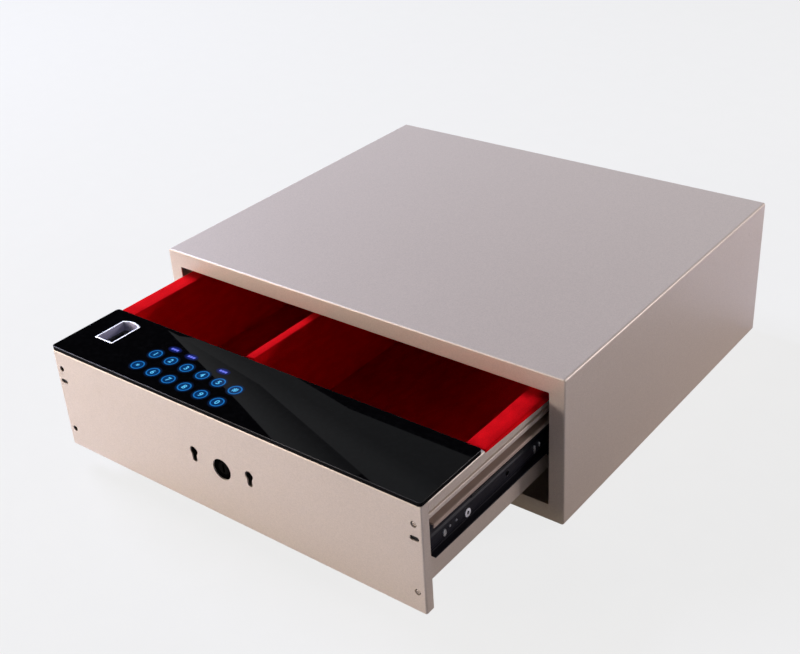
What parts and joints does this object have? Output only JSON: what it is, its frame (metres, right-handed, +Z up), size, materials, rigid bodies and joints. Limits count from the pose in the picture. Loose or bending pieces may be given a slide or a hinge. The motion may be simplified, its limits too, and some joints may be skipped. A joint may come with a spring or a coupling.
{
  "type": "under desk drawer safe",
  "caption": "Low steel safe with a felt-lined drawer on two-stage ball slides, a glass keypad deck with a fingerprint well, and a motor-driven bolt lock with a key override.",
  "frame": {"origin": "middle of the case's flat underside", "axes": "+Z up, +Y to the back of the case; the drawer opens towards -Y and is stored 165 mm out"},
  "size_m": [0.45, 0.551, 0.145],
  "materials": {
    "painted_steel": "satin champagne powder coat",
    "zinc_steel": "bright zinc plate",
    "black_steel": "semi-gloss black coat",
    "black_glass": "polished, opaque black backed",
    "chrome": "polished",
    "circuit_board": "solder mask",
    "white_nylon": "moulded",
    "red_felt": "short-napped felt",
    "black_plastic": "moulded",
    "cell_wrap": "plain shrink wrap",
    "brass": "machined"
  },
  "bodies": {
    "case": {"case_shell": "painted_steel", "back_panel": "painted_steel", "lock_strike": "zinc_steel", "slide_spacer_right": "zinc_steel", "slide_spacer_left": "zinc_steel", "cabinet_member_right": "black_steel", "cabinet_member_left": "black_steel"},
    "outer_cages": {"ball_cage_outer_right": "zinc_steel", "ball_cage_outer_left": "zinc_steel"},
    "slide_stage": {"intermediate_member_right": "black_steel", "intermediate_member_left": "black_steel"},
    "inner_cages": {"ball_cage_inner_right": "zinc_steel", "ball_cage_inner_left": "zinc_steel"},
    "drawer": {"drawer_member_right": "black_steel", "drawer_member_left": "black_steel", "front_panel": "painted_steel", "drawer_tray": "painted_steel", "control_deck": "painted_steel", "glass_panel": "black_glass", "fingerprint_bezel": "chrome", "fingerprint_sensor": "black_glass", "touch_board": "circuit_board", "control_board": "circuit_board", "lining_side_right": "red_felt", "lining_side_left": "red_felt", "lining_back": "red_felt", "lining_front": "red_felt", "lining_floor": "red_felt", "compartment_divider": "red_felt", "battery_holder": "black_plastic", "battery_cell_1": "cell_wrap", "battery_cell_2": "cell_wrap", "battery_cell_3": "cell_wrap", "battery_cell_4": "cell_wrap", "battery_door": "black_plastic", "lock_frame": "zinc_steel", "gear_motor": "black_plastic", "bolt_bush_right": "white_nylon", "bolt_bush_left": "white_nylon", "guide_stud_right": "zinc_steel", "guide_stud_left": "zinc_steel", "key_cylinder": "zinc_steel"},
    "bolts": {"bolt_plate": "zinc_steel", "lock_bolt_right": "chrome", "lock_bolt_left": "chrome"},
    "pinion": {"drive_pinion": "brass"},
    "key_core": {"key_plug": "brass", "key_gear": "zinc_steel"}
  },
  "joints": [
    {"name": "slide_stage_extension", "type": "slide", "parent": "case", "child": "slide_stage", "axis": [0, -1, 0], "range_m": [0, 0.175]},
    {"name": "drawer_slide", "type": "slide", "parent": "slide_stage", "child": "drawer", "axis": [0, -1, 0], "range_m": [-0.165, 0.01]},
    {"name": "outer_cage_roll", "type": "slide", "parent": "case", "child": "outer_cages", "axis": [0, -1, 0], "range_m": [0, 0.0875]},
    {"name": "inner_cage_roll", "type": "slide", "parent": "slide_stage", "child": "inner_cages", "axis": [0, -1, 0], "range_m": [-0.0825, 0.005]},
    {"name": "bolt_drop", "type": "slide", "parent": "drawer", "child": "bolts", "axis": [0, 0, -1], "range_m": [0, 0.016]},
    {"name": "pinion_spin", "type": "hinge", "parent": "drawer", "child": "pinion", "pos_m": [0.0542, -0.32, 0.082], "axis": [0, -1, 0], "range_deg": [0, 128]},
    {"name": "key_turn", "type": "hinge", "parent": "drawer", "child": "key_core", "pos_m": [-0.002, -0.35, 0.0697], "axis": [0, 1, 0], "range_deg": [0, 88.5]}
  ],
  "couplings": [
    {"joint": "outer_cage_roll", "follows": "slide_stage_extension", "ratio": 0.5},
    {"joint": "inner_cage_roll", "follows": "drawer_slide", "ratio": 0.5},
    {"joint": "pinion_spin", "follows": "bolt_drop", "rad_per_m": 138.89},
    {"joint": "key_turn", "follows": "bolt_drop", "rad_per_m": 96.154}
  ]
}
